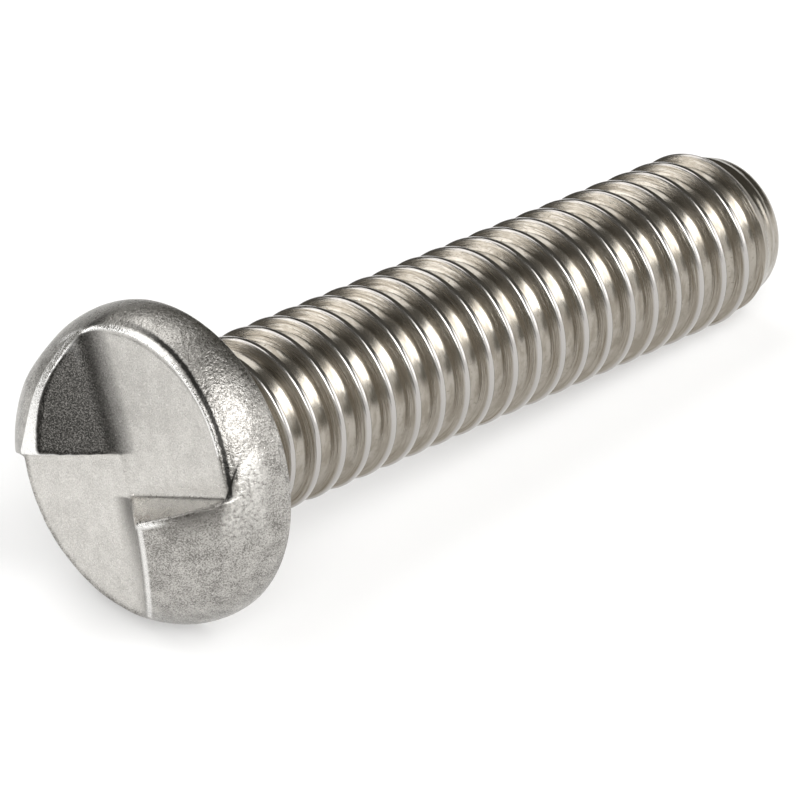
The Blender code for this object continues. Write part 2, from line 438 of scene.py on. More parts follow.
def draw_ramp(punch, half, top):
    """Draw the punch's left side out along the ramp's fillet and up its straight part."""
    foot, angle = RAMP_FEET[half], RAMP_ANGLES[half]
    bpy.ops.mesh.select_mode(type="FACE")
    bpy.ops.mesh.select_all(action="DESELECT")
    solid = bmesh.from_edit_mesh(punch.data)
    for face in solid.faces:
        face.select_set(face.normal.x < -0.5)
    bmesh.update_edit_mesh(punch.data)
    outline = arc((foot, FLOOR_HEIGHT + RAMP_FILLET), RAMP_FILLET, -90, -90 - math.degrees(angle), RAMP_STEPS)
    bend_place, bend_height = outline[-1]
    outline.append((bend_place - (top - bend_height) / math.tan(angle), top))
    place = foot
    for across, height in outline:
        bpy.ops.mesh.extrude_region_move(TRANSFORM_OT_translate={"value": (across - place, 0.0, 0.0)})
        place = across
        solid = bmesh.from_edit_mesh(punch.data)
        for vertex in solid.verts:
            if vertex.select and vertex.co.z < top - WELD:
                vertex.co.z = height
        bmesh.update_edit_mesh(punch.data)


def bend_punch(punch, half, far, top):
    """Skew the punch's ramp, draft its wall and let its floor fall."""
    for cut in PUNCH_CUTS:
        bpy.ops.mesh.select_all(action="SELECT")
        bpy.ops.mesh.bisect(plane_co=(0.0, cut, 0.0), plane_no=(0.0, 1.0, 0.0))
    wall = WALL_PLACES[half]
    solid = bmesh.from_edit_mesh(punch.data)
    for vertex in solid.verts:
        if vertex.co.x < far - WELD:
            vertex.co.x += ramp_shift(vertex.co.y, half)
        fall = floor_drop(vertex.co.y) if vertex.co.z < top - WELD else 0.0
        if vertex.co.y < -wall + WELD:
            vertex.co.y = -wall - (vertex.co.z - FLOOR_HEIGHT) * math.tan(WALL_DRAFT)
        vertex.co.z -= fall
    bmesh.update_edit_mesh(punch.data)


def make_punch(half):
    """The tool that presses one half of the recess: a block whose left side is drawn out up the ramp."""
    start_fresh()
    far = HEAD_RADIUS + SPARE
    top = HEAD_HEIGHT + SPARE
    low = (RAMP_FEET[half], -WALL_PLACES[half], FLOOR_HEIGHT)
    high = (far, far, top)
    bpy.ops.mesh.primitive_cube_add(size=1.0, location=[(a + b) / 2 for a, b in zip(low, high)])
    punch = bpy.context.object
    punch.scale = [b - a for a, b in zip(low, high)]
    bpy.ops.object.transform_apply()

    bpy.ops.object.mode_set(mode="EDIT")
    draw_ramp(punch, half, top)
    bend_punch(punch, half, far, top)
    bpy.ops.mesh.select_all(action="SELECT")
    bpy.ops.mesh.remove_doubles(threshold=WELD)
    turn_outwards()
    bpy.ops.object.mode_set(mode="OBJECT")
    punch.rotation_euler.z = math.pi * half
    bpy.ops.object.transform_apply()
    return punch


def press_recess(blank):
    """Cut both halves of the recess and remake the head's skin as an even mesh with eased edges."""
    for half in (0, 1):
        punch = make_punch(half)
        pick(blank)
        apply_modifier(blank, "BOOLEAN", operation="DIFFERENCE", solver="EXACT", object=punch)
        bpy.data.objects.remove(punch)
    apply_modifier(blank, "REMESH", mode="VOXEL", voxel_size=SKIN_CELL)
    smooth(blank, SKIN_PASSES)


def ridge_share(across, along):
    """How much of the smoothing a place on the ridge between the ramps' feet gets."""
    middle = 1.0 - smooth_step(abs(across - RIDGE_MIDDLE), *RIDGE_REACH)
    return middle * (1.0 - smooth_step(abs(along), *RIDGE_ENDS))


def crest_share(across, along):
    """How much of the smoothing a place near a ramp's crest gets."""
    half = 1 if along < 0.0 else 0
    if half:
        across = -across
    gap = recess_height(across, abs(along), half) - dome_height(math.hypot(across, along))
    return (1.0 - smooth_step(abs(gap), *CREST_EASE)) * (1.0 - smooth_step(across, *CREST_SIDE))


def ease_crests(head):
    """Round the crests of the two ramps, where the metal was dragged, and the ridge between their feet."""
    eased = head.vertex_groups.new(name="eased")
    for vertex in head.data.vertices:
        across, along, height = vertex.co
        if height < FLOOR_HEIGHT - FLOOR_BAND:
            continue
        if height < FLOOR_HEIGHT + FLOOR_BAND and abs(along) < WALL_PLACES[0]:
            share = ridge_share(across, along)
        else:
            share = crest_share(across, along)
        if share > 0.0:
            eased.add([vertex.index], share, "REPLACE")
    smooth(head, CREST_PASSES, "eased")
    head.vertex_groups.clear()


def edge_rise(across, along):
    """How far the lip round the floor stands up, less the step outside it."""
    shown = smooth_step(across, *EDGE_LEFT) * smooth_step(along, *EDGE_ABOVE_WALL)
    beyond_edge = math.hypot(across, along) - EDGE_RADIUS - EDGE_SWING * along
    lip = LIP_HEIGHT * math.exp(-((beyond_edge + LIP_INSET) / LIP_WIDTH) ** 2)
    step = STEP_DEPTH * smooth_step(beyond_edge, *STEP_INNER) * (1.0 - smooth_step(beyond_edge, *STEP_OUTER))
    return (lip - step) * shown


def shoulder_push(across, along, height, out):
    """The full shoulder beside the upper ramp."""
    full = smooth_step(-across, *SHOULDER_SIDE) * smooth_step(along, *SHOULDER_START)
    full *= 1.0 - smooth_step(along, *SHOULDER_END)
    above = smooth_step(height, *SHOULDER_RISE)
    way = out * SHOULDER_WAY[0] + Vector((0.0, 0.0, SHOULDER_WAY[1]))
    return way * SHOULDER_BULGE * full * above


def fold_push(across, along, out):
    """The raised metal outside the fold on the right."""
    from_fold = Vector((across, along)) - FOLD_START
    run = from_fold.dot(FOLD_WAY)
    if across <= FOLD_LEFT or not 0.0 < run < FOLD_LENGTH:
        return Vector((0.0, 0.0, 0.0))
    beyond = from_fold.x * FOLD_WAY.y - from_fold.y * FOLD_WAY.x
    raised = smooth_step(beyond, *FOLD_INNER) * (1.0 - smooth_step(beyond, *FOLD_OUTER))
    ends = smooth_step(run, *FOLD_START_EDGE) * (1.0 - smooth_step(run, *FOLD_END_EDGE))
    return out * FOLD_HEIGHT * raised * ends


def sculpt_head(head):
    """Push the skin about for the lip and step round the floor, the full shoulder, the fold and the dents."""
    for vertex in head.data.vertices:
        across, along, height = vertex.co
        out = Vector((across, along, 0.0)) / max(math.hypot(across, along), WELD)
        vertex.co.z += edge_rise(across, along)
        vertex.co += shoulder_push(across, along, height, out)
        vertex.co += fold_push(across, along, out)
        vertex.co.y -= dome_lean(across, along)
        dent = noise.noise(Vector((across, along, height)) * DENT_SCALE) * DENT_DEPTH
        vertex.co += out * dent * smooth_step(height, *DENT_EDGE)
    smooth(head, DENT_PASSES)


def trim_head(head):
    """Cut the head's skin off at its widest, and draw its rim down to the bearing face."""
    pick(head)
    bpy.ops.object.mode_set(mode="EDIT")
    cut_level(RIM_HEIGHT, clear_inner=True)
    select_open_edges()
    skin = bmesh.from_edit_mesh(head.data)
    for vertex in skin.verts:
        if vertex.select:
            spread = math.hypot(vertex.co.x, vertex.co.y)
            vertex.co.x *= HEAD_RADIUS / spread
            vertex.co.y *= HEAD_RADIUS / spread
            vertex.co.y -= dome_lean(vertex.co.x, vertex.co.y)
    bmesh.update_edit_mesh(head.data)
    rim = [(LAND_RADIUS, RIM_ROUNDING)]
    rim += arc((LAND_RADIUS - RIM_ROUNDING, RIM_ROUNDING), RIM_ROUNDING, 0, -90, RIM_STEPS)
    draw_rings((HEAD_RADIUS, RIM_HEIGHT), rim)
    bpy.ops.object.mode_set(mode="OBJECT")


def thread_radius(place):
    """Radius of the thread at an axial distance from a crest's middle: rounded root, straight flank."""
    from_root = PITCH / 2 - abs(place)
    half_valley = (PITCH - CREST_WIDTH) / 2
    if from_root >= half_valley:
        return CREST_RADIUS
    if from_root > ROOT_RUN:
        flank = (half_valley - from_root) / (half_valley - ROOT_RUN)
        return CREST_RADIUS - (THREAD_DEPTH - ROOT_RISE) * flank
    return CREST_RADIUS - THREAD_DEPTH + ROOT_RISE * (from_root / ROOT_RUN) ** ROOT_CURVE


def make_shank():
    """The thread, swept a little longer than the shank from one turn's outline and cut off at both ends."""
    start_fresh()
    shares = [share - 0.5 for share in FLANK_POINTS] + [0.5 - share for share in reversed(FLANK_POINTS)]
    turns = math.ceil((SHANK_LENGTH + 2 * SPARE) / PITCH) + 2
    first = CREST_MIDDLE - PITCH * (turns - 1)
    outline = []
    for share in shares:
        outline.append((thread_radius(share * PITCH), first + share * PITCH))

    bpy.ops.mesh.primitive_plane_add(size=SPARE, location=(0.0, 0.0, 0.0))
    shank = bpy.context.object
    shank.name = "shank"
    bpy.ops.object.mode_set(mode="EDIT")
    bpy.ops.mesh.select_mode(type="VERT")
    bpy.ops.mesh.select_all(action="SELECT")
    bpy.ops.mesh.merge(type="CENTER")
    bpy.ops.transform.translate(value=(outline[0][0], 0.0, outline[0][1]))
    for start, end in zip(outline, outline[1:]):
        step = (end[0] - start[0], 0.0, end[1] - start[1])
        bpy.ops.mesh.extrude_vertices_move(TRANSFORM_OT_translate={"value": step})
    bpy.ops.object.mode_set(mode="OBJECT")
    apply_modifier(shank, "SCREW", axis="Z", angle=2 * math.pi, steps=THREAD_STEPS, render_steps=THREAD_STEPS,
                   screw_offset=PITCH, iterations=turns, use_merge_vertices=False)

    bpy.ops.object.mode_set(mode="EDIT")
    bpy.ops.mesh.select_all(action="SELECT")
    bpy.ops.mesh.remove_doubles(threshold=WELD)
    cut_level(-NECK_LENGTH + NECK_OVERLAP, clear_outer=True)
    cut_level(-SHANK_LENGTH + POINT_ROUNDING, clear_inner=True)
    bpy.ops.object.mode_set(mode="OBJECT")
    return shank


def shape_shank(shank):
    """Let the thread run out into the neck and sink into the tapered point."""
    taper_start = -SHANK_LENGTH + POINT_LENGTH
    taper = (CREST_RADIUS - POINT_RADIUS - POINT_ROUNDING) / (POINT_LENGTH - POINT_ROUNDING)
    for vertex in shank.data.vertices:
        height = vertex.co.z
        radius = math.hypot(vertex.co.x, vertex.co.y)
        runout = smooth_step(height, -NECK_LENGTH - RUNOUT_LENGTH, -NECK_LENGTH)
        new_radius = radius + (NECK_RADIUS - radius) * runout
        if height < taper_start:
            cone = CREST_RADIUS - (taper_start - height) * taper
            fill = smooth_step(height, -SHANK_LENGTH + POINT_ROUNDING, -SHANK_LENGTH + POINT_LENGTH)
            new_radius = min(new_radius, cone)
            new_radius = cone + (new_radius - cone) * fill
        vertex.co.x *= new_radius / radius
        vertex.co.y *= new_radius / radius


def select_end(shank, at_point):
    """Select the shank's open ring at its point or at its neck, in edit mode."""
    pick(shank)
    bpy.ops.object.mode_set(mode="EDIT")
    select_open_edges()
    bpy.ops.object.mode_set(mode="OBJECT")
    middle = -SHANK_LENGTH / 2
    for edge in shank.data.edges:
        height = shank.data.vertices[edge.vertices[0]].co.z
        if edge.select and (height < middle) != at_point:
            edge.select = False
    for vertex in shank.data.vertices:
        if vertex.select and (vertex.co.z < middle) != at_point:
            vertex.select = False
    bpy.ops.object.mode_set(mode="EDIT")


def close_point(shank):
    """Round the point's edge and close its flat end."""
    select_end(shank, True)
    edge_height = -SHANK_LENGTH + POINT_ROUNDING
    rounding = arc((POINT_RADIUS, edge_height), POINT_ROUNDING, 0, -90, POINT_STEPS)
    draw_rings((POINT_RADIUS + POINT_ROUNDING, edge_height), rounding)
    draw_rings((POINT_RADIUS, -SHANK_LENGTH), [(POINT_RADIUS * END_RING, -SHANK_LENGTH)])
    bpy.ops.mesh.edge_face_add()
    bpy.ops.object.mode_set(mode="OBJECT")


def draw_neck(shank):
    """Draw the plain neck up to the bearing face, with its fillet."""
    select_end(shank, False)
    outline = [(NECK_RADIUS, -NECK_FILLET)]
    outline += arc((NECK_RADIUS + NECK_FILLET, -NECK_FILLET), NECK_FILLET, 180, 90, NECK_STEPS)
    draw_rings((NECK_RADIUS, -NECK_LENGTH + NECK_OVERLAP), outline)
    bpy.ops.object.mode_set(mode="OBJECT")


def join_screw(head, shank):
    """Make one closed skin; the shank hangs clear of the head while they are bridged."""
    pick(shank)
    bpy.ops.transform.translate(value=(0.0, 0.0, -SHANK_LENGTH))
    bpy.ops.object.transform_apply()
    head.select_set(True)
    bpy.context.view_layer.objects.active = head
    bpy.ops.object.join()
    bpy.ops.object.mode_set(mode="EDIT")
    select_open_edges()
    bpy.ops.mesh.bridge_edge_loops()
    bpy.ops.mesh.select_mode(type="VERT")
    skin = bmesh.from_edit_mesh(head.data)
    for vertex in skin.verts:
        vertex.select_set(vertex.co.z < -SHANK_LENGTH + WELD)
    skin.select_flush_mode()
    bmesh.update_edit_mesh(head.data)
    bpy.ops.transform.translate(value=(0.0, 0.0, SHANK_LENGTH))
    turn_outwards()
    bpy.ops.object.mode_set(mode="OBJECT")
    head.name = "screw"
    return head


def lay_down(screw):
    """Put the screw where the part lies, in metres, with its place in its mesh."""
    pick(screw)
    screw.rotation_mode = "ZYX"
    screw.rotation_euler = REST_TURN
    screw.location = REST_PLACE * MM
    screw.scale = (MM, MM, MM)
    bpy.ops.object.transform_apply()


def make_screw():
    """The whole screw as one piece."""
    head = make_head_blank()
    press_recess(head)
    ease_crests(head)
    sculpt_head(head)
    trim_head(head)
    shank = make_shank()
    shape_shank(shank)
    close_point(shank)
    draw_neck(shank)
    screw = join_screw(head, shank)
    bpy.ops.object.shade_smooth_by_angle(angle=SMOOTH_ANGLE)
    finish_steel(screw)
    lay_down(screw)
    return screw


def add_node(tree, kind, links=None, **values):
    """Add a node, set its values and link its inputs; input names may be numbers."""
    node = tree.nodes.new(kind)
    for name, value in values.items():
        if hasattr(node, name) and name not in node.inputs:
            setattr(node, name, value)
        else:
            node.inputs[name].default_value = value
    for name, source in (links or {}).items():
        tree.links.new(source, node.inputs[name])
    return node


def new_group(name, inputs, outputs):
    """A shader node group with named sockets."""
    group = bpy.data.node_groups.new(name, "ShaderNodeTree")
    for socket, kind in inputs.items():
        group.interface.new_socket(name=socket, in_out="INPUT", socket_type=kind)
    for socket, kind in outputs.items():
        group.interface.new_socket(name=socket, in_out="OUTPUT", socket_type=kind)
    return group, group.nodes.new("NodeGroupInput"), group.nodes.new("NodeGroupOutput")


def calculate(tree, operation, first, second):
    """A Math node; either value may be a number or a socket."""
    node = tree.nodes.new("ShaderNodeMath")
    node.operation = operation
    for socket, value in zip(node.inputs, (first, second)):
        if isinstance(value, (int, float)):
            socket.default_value = value
        else:
            tree.links.new(value, socket)
    return node.outputs[0]


def product(tree, *sockets):
    """Multiply masks together."""
    result = sockets[0]
    for socket in sockets[1:]:
        result = calculate(tree, "MULTIPLY", result, socket)
    return result


def greatest(tree, *sockets):
    """The greatest of some masks."""
    result = sockets[0]
    for socket in sockets[1:]:
        result = calculate(tree, "MAXIMUM", result, socket)
    return result


def mapped(tree, source, span, new_span):
    """Bring a value from one range to another, and no further."""
    node = add_node(tree, "ShaderNodeMapRange", {0: source})
    for index, value in enumerate((*span, *new_span), start=1):
        node.inputs[index].default_value = value
    return node.outputs[0]


def rising(tree, source, edge, most=1.0):
    """Nought before a soft edge and the most after it."""
    return mapped(tree, source, edge, (0.0, most))


def falling(tree, source, edge, most=1.0):
    """The most before a soft edge and nought after it."""
    return mapped(tree, source, edge, (most, 0.0))


def opposite(tree, mask):
    """One where a mask is nought, and nought where it is one."""
    return falling(tree, mask, (0.0, 1.0))


def band(tree, source, low, high, edge):
    """One between two values and nought outside them, with soft edges."""
    return product(tree, rising(tree, source, (low - edge, low + edge)),
                   falling(tree, source, (high - edge, high + edge)))


def from_axis(tree, across, along):
    """Distance from the screw's axis."""
    flat = add_node(tree, "ShaderNodeCombineXYZ", {"X": across, "Y": along})
    length = add_node(tree, "ShaderNodeVectorMath", {0: flat.outputs["Vector"]}, operation="LENGTH")
    return length.outputs["Value"]


def colour_between(tree, share, first, second):
    """Mix two colours; each may be a colour or a socket."""
    node = tree.nodes.new("ShaderNodeMix")
    node.data_type = "RGBA"
    tree.links.new(share, node.inputs[0])
    for index, colour in ((6, first), (7, second)):
        if isinstance(colour, tuple):
            node.inputs[index].default_value = colour
        else:
            tree.links.new(colour, node.inputs[index])
    return node.outputs[2]


def bumped(tree, height, bump, below=None):
    """A Bump node on a height, with its depth and strength, laid over another one."""
    distance, strength = bump
    node = add_node(tree, "ShaderNodeBump", {"Height": height}, Strength=strength, Distance=distance)
    if below is not None:
        tree.links.new(below, node.inputs["Normal"])
    return node.outputs["Normal"]


def screw_place(tree):
    """Object coordinates in millimetres in the screw's own upright frame."""
    turn_back = REST_TURN.to_matrix().transposed()
    coordinates = add_node(tree, "ShaderNodeTexCoord")
    mapping = add_node(tree, "ShaderNodeMapping", {"Vector": coordinates.outputs["Object"]},
                       Scale=(1.0 / MM, 1.0 / MM, 1.0 / MM), Rotation=turn_back.to_euler("XYZ"),
                       Location=-(turn_back @ REST_PLACE))
    return mapping.outputs["Vector"]


def new_steel(name, colour, roughness):
    """A metal with an empty surface to dress."""
    material = bpy.data.materials.new(name)
    material.use_nodes = True
    tree = material.node_tree
    surface = tree.nodes["Principled BSDF"]
    surface.inputs["Base Color"].default_value = colour
    surface.inputs["Metallic"].default_value = 1.0
    surface.inputs["Roughness"].default_value = roughness
    return material, tree, surface


def make_grain_group():
    """Tumbled skin: fine grain, a coarser peel, and broad clouds of tone."""
    group, start, end = new_group(
        "tumbled_grain",
        {"Place": "NodeSocketVector", "Grain Scale": "NodeSocketFloat", "Peel Scale": "NodeSocketFloat"},
        {"Grain": "NodeSocketFloat", "Peel": "NodeSocketFloat", "Cloud": "NodeSocketFloat"})
    place = start.outputs["Place"]
    grain = add_node(group, "ShaderNodeTexNoise", {"Vector": place, "Scale": start.outputs["Grain Scale"]},
                     Detail=3.0, Roughness=0.6)
    peel = add_node(group, "ShaderNodeTexNoise", {"Vector": place, "Scale": start.outputs["Peel Scale"]},
                    Detail=2.0, Roughness=0.5)
    cloud = add_node(group, "ShaderNodeTexNoise", {"Vector": place},
                     Scale=CLOUD_SCALE, Detail=4.0, Roughness=0.6)
    for name, source in (("Grain", grain), ("Peel", peel), ("Cloud", cloud)):
        group.links.new(source.outputs["Fac"], end.inputs[name])
    return group


def ramp_level(tree, head, half):
    """A value that is nought on a ramp's straight part, above nought past its foot and below nought past its
    crest, and the place across the ramp, freed from its skew."""
    way = -1.0 if half else 1.0
    steep = math.tan(RAMP_ANGLES[half])
    bend_place, bend_rise = ramp_bend(half)
    level = FLOOR_HEIGHT + FLOOR_FALL * FLOOR_CROWN + bend_rise + bend_place * steep
    out = calculate(tree, "MULTIPLY", head.along, way)
    run = calculate(tree, "MAXIMUM", calculate(tree, "SUBTRACT", out, RAMP_START), 0.0)
    bow = calculate(tree, "MULTIPLY", calculate(tree, "POWER", run, 2.0), RAMP_CURVES[half])
    shift = calculate(tree, "ADD", calculate(tree, "MULTIPLY", run, RAMP_SKEWS[half]), bow)
    side = calculate(tree, "SUBTRACT", calculate(tree, "MULTIPLY", head.across, way), shift)
    value = calculate(tree, "ADD", head.height, calculate(tree, "MULTIPLY", side, steep))
    value = calculate(tree, "ADD", value, calculate(tree, "MULTIPLY", out, FLOOR_FALL))
    return calculate(tree, "SUBTRACT", value, level), side


def wall_distance(tree, head):
    """How far a place lies past the lower wall, which leans back by its draft."""
    rise = calculate(tree, "SUBTRACT", head.height, FLOOR_HEIGHT)
    lean = calculate(tree, "MULTIPLY", rise, math.tan(WALL_DRAFT))
    return calculate(tree, "SUBTRACT", calculate(tree, "SUBTRACT", -WALL_PLACES[0], head.along), lean)


def fold_distances(tree, head):
    """How far a place lies along the fold from its lower end, and how far outside it."""
    across = calculate(tree, "SUBTRACT", head.across, FOLD_START.x)
    along = calculate(tree, "SUBTRACT", head.along, FOLD_START.y)
    run = calculate(tree, "ADD", calculate(tree, "MULTIPLY", across, FOLD_WAY.x),
                    calculate(tree, "MULTIPLY", along, FOLD_WAY.y))
    beyond = calculate(tree, "SUBTRACT", calculate(tree, "MULTIPLY", across, FOLD_WAY.y),
                       calculate(tree, "MULTIPLY", along, FOLD_WAY.x))
    return run, beyond


def read_head(tree, grain_group):
    """What the marks on the head are drawn from: places in its own frame, its grain and its main areas."""
    place = screw_place(tree)
    across, along, height = add_node(tree, "ShaderNodeSeparateXYZ", {"Vector": place}).outputs
    grain = add_node(tree, "ShaderNodeGroup", {"Place": place}, node_tree=grain_group,
                     **{"Grain Scale": GRAIN_SCALE, "Peel Scale": PEEL_SCALE}).outputs
    head = SimpleNamespace(across=across, along=along, height=height,
                           grain=grain["Grain"], peel=grain["Peel"], cloud=grain["Cloud"])
    spread = from_axis(tree, across, along)
    up_share = calculate(tree, "POWER", rising(tree, height, (RIM_HEIGHT, HEAD_HEIGHT)), 2.0)
    out_share = calculate(tree, "POWER", calculate(tree, "DIVIDE", spread, HEAD_RADIUS), 2.0)
    head.in_recess = falling(tree, calculate(tree, "ADD", up_share, out_share), UNDER_DOME)
    head.on_dome = opposite(tree, head.in_recess)
    head.front = rising(tree, height, FRONT_EDGE)
    head.upper_half = rising(tree, along, UPPER_HALF)
    head.lower_half = falling(tree, along, LOWER_HALF)
    head.upper_level, head.upper_side = ramp_level(tree, head, 0)
    head.lower_level, head.lower_side = ramp_level(tree, head, 1)
    head.past_wall = wall_distance(tree, head)
    head.beyond_edge = calculate(tree, "SUBTRACT", calculate(tree, "SUBTRACT", spread, EDGE_RADIUS),
                                 calculate(tree, "MULTIPLY", along, EDGE_SWING))
    return head


def colour_skin(tree, head):
    """Dome and floor, each flecked between its dark and its light tone, with a painted sheen on the top of
    the dome.
    """
    tone = calculate(tree, "ADD", head.grain, mapped(tree, head.cloud, (0.0, 1.0), CLOUD_TONES))
    # painted sheen: the top of the dome is made a little lighter
    dome_tone_and_sheen = calculate(tree, "ADD", tone, rising(tree, head.along, TOP_SHEEN_EDGE, TOP_SHEEN_GAIN))
    dome = colour_between(tree, rising(tree, dome_tone_and_sheen, DOME_FLECKS), DOME_DARK, DOME_LIGHT)
    floor = colour_between(tree, rising(tree, tone, FLOOR_FLECKS), FLOOR_DARK, FLOOR_LIGHT)
    return colour_between(tree, head.in_recess, dome, floor)


def darken_ramps(tree, head, colour):
    """Painted shade: the upper ramp painted dark with painted glints, the lower one's dark fillet, and a
    painted shadow in the strip under the wall.
    """
    # painted shade on the upper ramp, with painted glints from the grain
    past_fillet = calculate(tree, "POWER", rising(tree, head.upper_side, UPPER_FILLET), 2.0)
    on_ramp = product(tree, head.upper_half, opposite(tree, past_fillet),
                      rising(tree, head.upper_level, UPPER_RAMP_EDGE))
    ramp = colour_between(tree, rising(tree, head.grain, RAMP_GLINTS), RAMP_DARK, RAMP_LIGHT)
    colour = colour_between(tree, on_ramp, colour, ramp)

    # painted shade in the lower ramp's fillet
    in_fillet = product(tree, head.lower_half,
                        falling(tree, head.lower_side, LOWER_FILLET, LOWER_FILLET_SHADE),
                        rising(tree, head.lower_level, LOWER_RAMP_EDGE),
                        rising(tree, head.along, LOWER_FILLET_END))
    colour = colour_between(tree, in_fillet, colour, DOME_DARK)

    # painted shadow on the dome in a strip under the lower wall
    under_wall = product(tree, head.front, head.on_dome, rising(tree, head.past_wall, WALL_SHADE_START),
                         falling(tree, head.past_wall, WALL_SHADE_END, WALL_SHADE),
                         band(tree, head.across, *WALL_SHADE_ACROSS))
    return colour_between(tree, under_wall, colour, DOME_DARK)


def crest_highlights(tree, head):
    """Painted highlights on the crests of both ramps."""
    narrowing = mapped(tree, head.along, CREST_NARROWING, (1.0, CREST_NARROWED))
    narrowed = calculate(tree, "MULTIPLY", head.upper_level, narrowing)
    upper = product(tree, head.upper_half, band(tree, narrowed, *UPPER_CREST),
                    falling(tree, head.across, UPPER_CREST_END))
    lower = product(tree, head.lower_half, band(tree, head.lower_level, *LOWER_CREST),
                    falling(tree, head.lower_side, LOWER_CREST_END, LOWER_CREST_SHINE))
    return greatest(tree, upper, lower)


def finish_wall(tree, head, wall, colour):
    """Stains high up on the lower wall, and painted shade in the crease at its foot."""
    stain = product(tree, wall, rising(tree, head.height, WALL_STAIN_RISE),
                    mapped(tree, head.peel, WALL_PEEL, WALL_STAIN_SHARES))
    colour = colour_between(tree, stain, colour, WALL_STAIN)
    # painted shade in the crease at the lower wall's foot
    crease = product(tree, head.front, head.in_recess, rising(tree, head.across, CREASE_LEFT, CREASE_SHADE),
                     band(tree, head.along, *CREASE_BAND))
    return colour_between(tree, crease, colour, RAMP_DARK)


def mark_edges(tree, head, colour):
    """Painted shade in the seam round the floor and in the crack at the fold, and the scuffs there, which
    carry a painted highlight.
    """
    # painted shade in the seam outside the floor's lip
    seam_place = calculate(tree, "ADD", head.beyond_edge,
                           mapped(tree, head.peel, PEEL_RANGE, (-SEAM_WAVER, SEAM_WAVER)))
    seam = product(tree, head.front, band(tree, seam_place, *SEAM_BAND), rising(tree, head.across, SEAM_LEFT),
                   rising(tree, head.along, SEAM_ABOVE_WALL))
    colour = colour_between(tree, seam, colour, RAMP_DARK)

    run, beyond_fold = fold_distances(tree, head)
    # scuffs outside the fold, painted lighter also as a painted highlight
    scuffs_and_highlight = product(tree, head.front, rising(tree, beyond_fold, SCUFF_HIGHLIGHT_INNER),
                      falling(tree, beyond_fold, SCUFF_HIGHLIGHT_OUTER), band(tree, run, *SCUFF_HIGHLIGHT_RUN),
                      mapped(tree, head.peel, SCUFF_HIGHLIGHT_PEEL, SCUFF_HIGHLIGHT_SHARES))
    # painted shade in the crack along the fold
    crack = product(tree, head.front, band(tree, beyond_fold, *CRACK_BAND), band(tree, run, *CRACK_RUN))
    colour = colour_between(tree, scuffs_and_highlight, colour, SCUFF_AND_HIGHLIGHT)
    return colour_between(tree, crack, colour, RAMP_DARK)


def make_head_steel(grain_group):
    """Forged and tumbled stainless steel: a bright pressed floor in a duller, rougher dome, with painted
    highlights and painted shade.
    """
    material, tree, surface = new_steel("head_steel", DOME_LIGHT, HEAD_ROUGHNESS)
    head = read_head(tree, grain_group)
    # the lower wall, which gets a painted highlight
    wall = product(tree, head.front, head.in_recess, band(tree, head.along, *WALL_BAND),
                   rising(tree, head.across, WALL_LEFT))
    # painted highlight on the lower wall's corner
    wall_corner = product(tree, head.front, band(tree, head.past_wall, *WALL_CORNER),
                          band(tree, head.across, *WALL_CORNER_ACROSS))
    # painted highlight on the lip
    lip = product(tree, head.front, band(tree, head.beyond_edge, *LIP_BAND), head.upper_half,
                  rising(tree, head.across, LIP_LEFT))
    # painted highlights on the crests, the lip, the lower wall and its corner, which are also made smoother
    bright = greatest(tree, crest_highlights(tree, head), lip, wall_corner, wall)

    colour = darken_ramps(tree, head, colour_skin(tree, head))
    colour = colour_between(tree, bright, colour, PAINTED_HIGHLIGHT)
    colour = finish_wall(tree, head, wall, colour)
    colour = mark_edges(tree, head, colour)
    tree.links.new(colour, surface.inputs["Base Color"])

    rough = mapped(tree, head.peel, PEEL_RANGE, HEAD_ROUGHNESS_RANGE)
    rough = calculate(tree, "SUBTRACT", rough, calculate(tree, "MULTIPLY", bright, BURNISH))
    tree.links.new(rough, surface.inputs["Roughness"])
    hammered = product(tree, head.peel, mapped(tree, head.in_recess, (0.0, 1.0), (1.0, FLOOR_BUMP_SHARE)))
    normal = bumped(tree, hammered, HAMMERED_BUMP)
    tree.links.new(bumped(tree, head.grain, GRAIN_BUMP, normal), surface.inputs["Normal"])
    return material


def stretched(tree, across, along, flat_scale, third):
    """A place whose first two values are scaled alike, and whose third is given."""
    node = add_node(tree, "ShaderNodeCombineXYZ", {
        "X": calculate(tree, "MULTIPLY", across, flat_scale),
        "Y": calculate(tree, "MULTIPLY", along, flat_scale),
        "Z": third})
    return node.outputs["Vector"]


